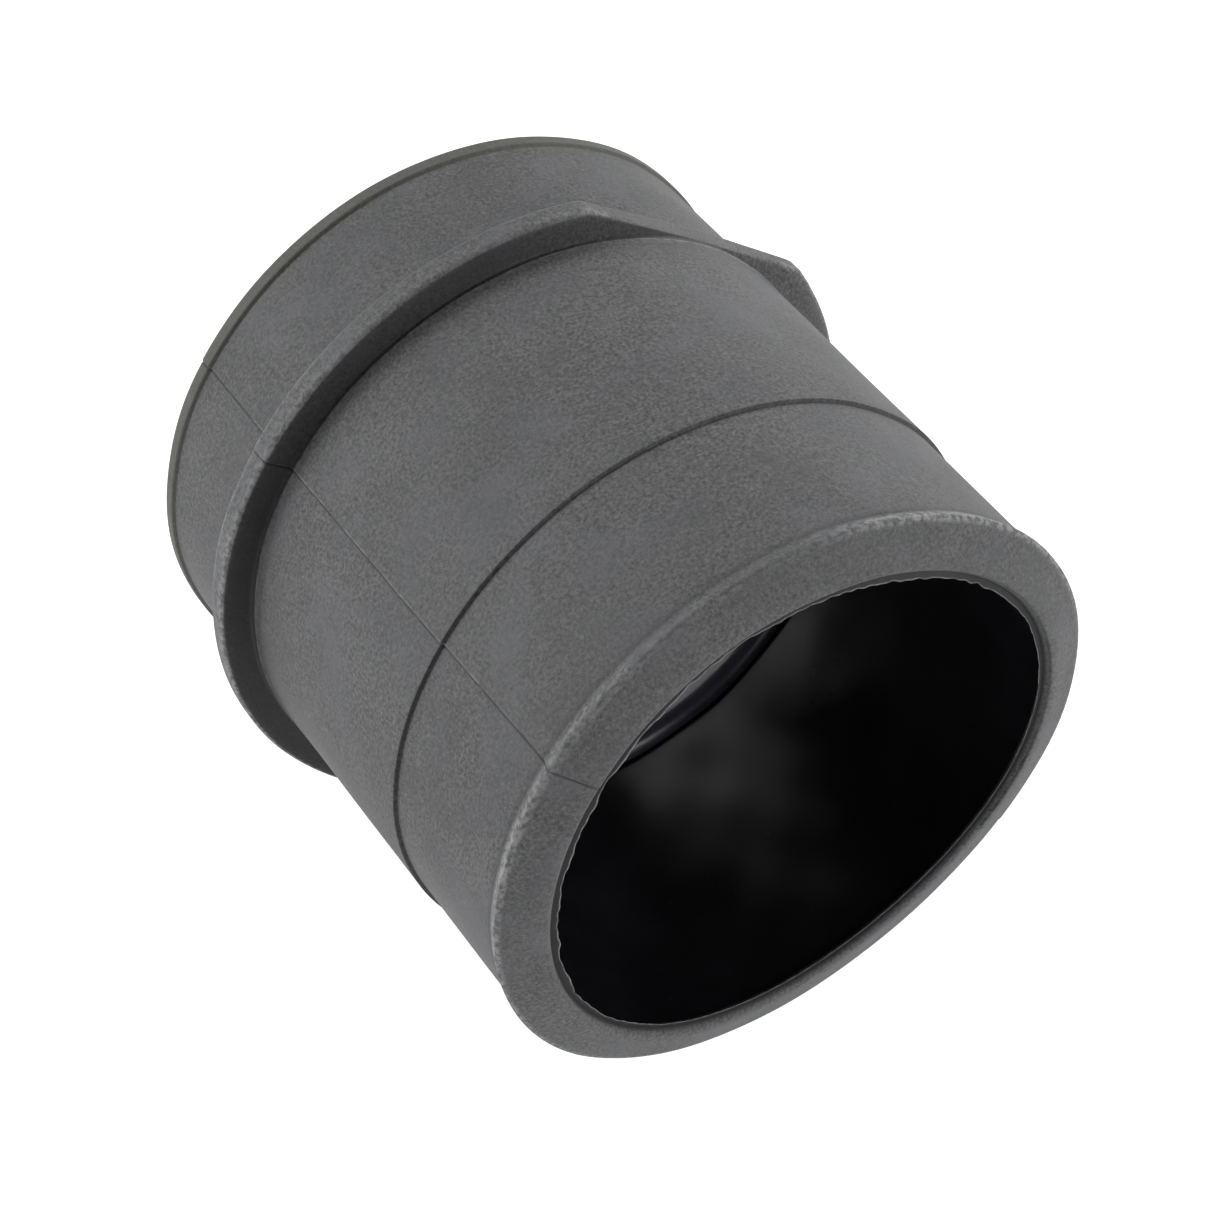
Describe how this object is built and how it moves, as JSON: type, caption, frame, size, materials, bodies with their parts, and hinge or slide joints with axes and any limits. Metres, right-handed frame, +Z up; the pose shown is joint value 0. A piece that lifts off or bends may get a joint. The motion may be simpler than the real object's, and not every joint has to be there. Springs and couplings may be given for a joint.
{
  "type": "pipe coupling",
  "caption": "Moulded rubber coupling sleeve that joins two pipe ends: smooth sockets, inner stop ring, beaded ends, raised locating rib with one flat, seats for hose clamps.",
  "frame": {"origin": "middle of the bore axis, halfway between the two end faces", "axes": "the bore axis is level and along Y, the front socket opens towards -Y, +Z is up"},
  "size_m": [0.0682, 0.0636, 0.0682],
  "materials": {
    "sleeve_rubber": "matte, finely grained",
    "liner_rubber": "smooth, satin",
    "ring_plastic": "smooth"
  },
  "bodies": {
    "root": {"outer_sleeve": "sleeve_rubber", "front_liner": "liner_rubber", "back_liner": "liner_rubber", "stop_ring": "ring_plastic"}
  },
  "joints": []
}
